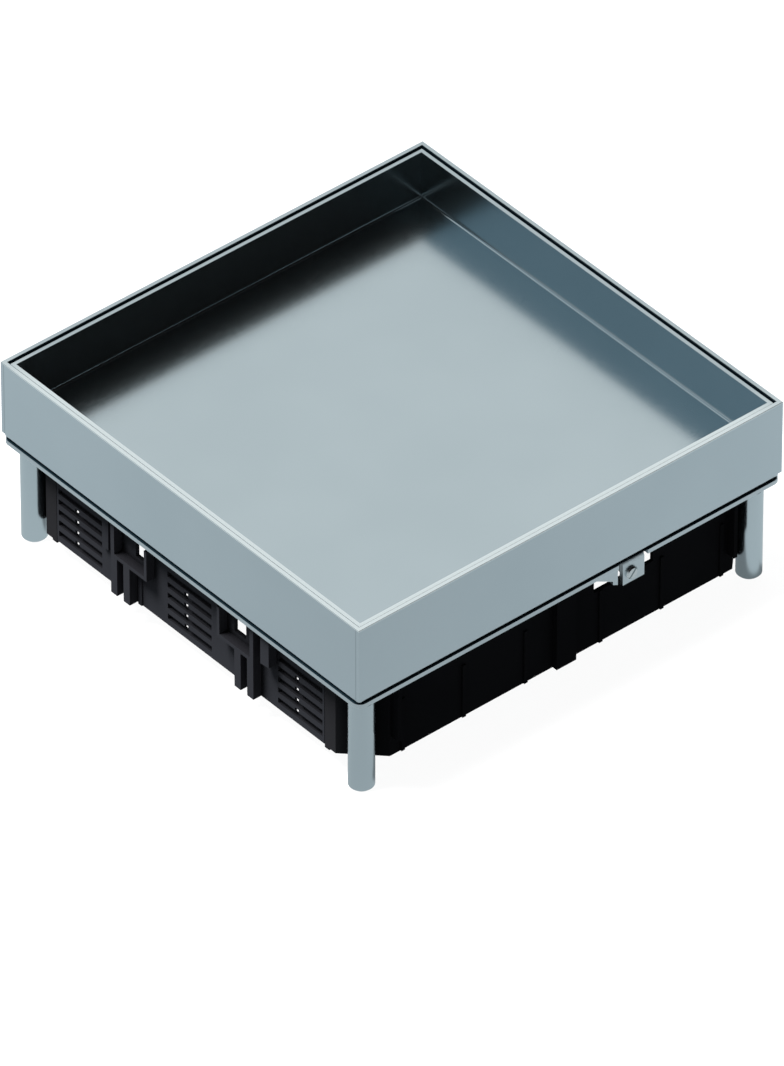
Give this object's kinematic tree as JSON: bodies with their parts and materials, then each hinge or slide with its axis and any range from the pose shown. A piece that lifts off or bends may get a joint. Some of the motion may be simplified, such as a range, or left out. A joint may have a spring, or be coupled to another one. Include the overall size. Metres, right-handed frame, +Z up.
{
  "type": "floor box cover",
  "caption": "Square steel floor box cover with a recessed tile lid, a folded frame, black moulded walls below and round levelling legs.",
  "frame": {"origin": "centre of the square on the floor under the legs, with the legs at their shortest", "axes": "+Z up out of the floor, +X and +Y along the sides, the earth tab on the -Y side"},
  "size_m": [0.243, 0.243, 0.0973],
  "materials": {
    "tray_steel": "fine satin stainless sheet",
    "frame_steel": "fine satin stainless sheet, folded",
    "plate_steel": "galvanised sheet",
    "leg_steel": "turned, zinc plated",
    "fastener_steel": "zinc plated",
    "moulded_black": "fine-grained moulding",
    "seal_rubber": "matt"
  },
  "bodies": {
    "cassette": {"lid_tray": "tray_steel", "cassette_frame": "frame_steel", "base_plate": "plate_steel", "lid_bearer": "plate_steel", "lid_stiffener_left": "plate_steel", "lid_stiffener_right": "plate_steel", "lid_seal": "seal_rubber", "base_gasket": "seal_rubber", "bearer_pad": "seal_rubber", "frame_screws": "fastener_steel", "carrier_screws": "fastener_steel", "earth_screw": "fastener_steel", "earth_washer": "fastener_steel", "earth_nut": "fastener_steel", "slotted_wall_left": "moulded_black", "slotted_wall_right": "moulded_black", "plain_wall_front": "moulded_black", "plain_wall_back": "moulded_black"},
    "spindle_front": {"levelling_screw_front": "leg_steel", "retaining_ring_front": "fastener_steel"},
    "leg_front": {"levelling_leg_front": "leg_steel"},
    "spindle_left": {"levelling_screw_left": "leg_steel", "retaining_ring_left": "fastener_steel"},
    "leg_left": {"levelling_leg_left": "leg_steel"},
    "spindle_right": {"levelling_screw_right": "leg_steel", "retaining_ring_right": "fastener_steel"},
    "leg_right": {"levelling_leg_right": "leg_steel"},
    "spindle_back": {"levelling_screw_back": "leg_steel", "retaining_ring_back": "fastener_steel"},
    "leg_back": {"levelling_leg_back": "leg_steel"}
  },
  "joints": [
    {"name": "levelling_turn_front", "type": "hinge", "parent": "cassette", "child": "spindle_front", "pos_m": [-0.1118, -0.1118, 0.05], "axis": [0, 0, 1], "range_deg": [0, 5400]},
    {"name": "levelling_travel_front", "type": "slide", "parent": "cassette", "child": "leg_front", "axis": [0, 0, -1], "range_m": [0, 0.0188]},
    {"name": "levelling_turn_left", "type": "hinge", "parent": "cassette", "child": "spindle_left", "pos_m": [-0.1118, 0.1118, 0.05], "axis": [0, 0, 1], "range_deg": [0, 5400]},
    {"name": "levelling_travel_left", "type": "slide", "parent": "cassette", "child": "leg_left", "axis": [0, 0, -1], "range_m": [0, 0.0188]},
    {"name": "levelling_turn_right", "type": "hinge", "parent": "cassette", "child": "spindle_right", "pos_m": [0.1118, -0.1118, 0.05], "axis": [0, 0, 1], "range_deg": [0, 5400]},
    {"name": "levelling_travel_right", "type": "slide", "parent": "cassette", "child": "leg_right", "axis": [0, 0, -1], "range_m": [0, 0.0188]},
    {"name": "levelling_turn_back", "type": "hinge", "parent": "cassette", "child": "spindle_back", "pos_m": [0.1118, 0.1118, 0.05], "axis": [0, 0, 1], "range_deg": [0, 5400]},
    {"name": "levelling_travel_back", "type": "slide", "parent": "cassette", "child": "leg_back", "axis": [0, 0, -1], "range_m": [0, 0.0188]}
  ],
  "couplings": [
    {"joint": "levelling_travel_front", "follows": "levelling_turn_front", "m_per_rad": 0.00019894},
    {"joint": "levelling_travel_left", "follows": "levelling_turn_left", "m_per_rad": 0.00019894},
    {"joint": "levelling_travel_right", "follows": "levelling_turn_right", "m_per_rad": 0.00019894},
    {"joint": "levelling_travel_back", "follows": "levelling_turn_back", "m_per_rad": 0.00019894}
  ]
}
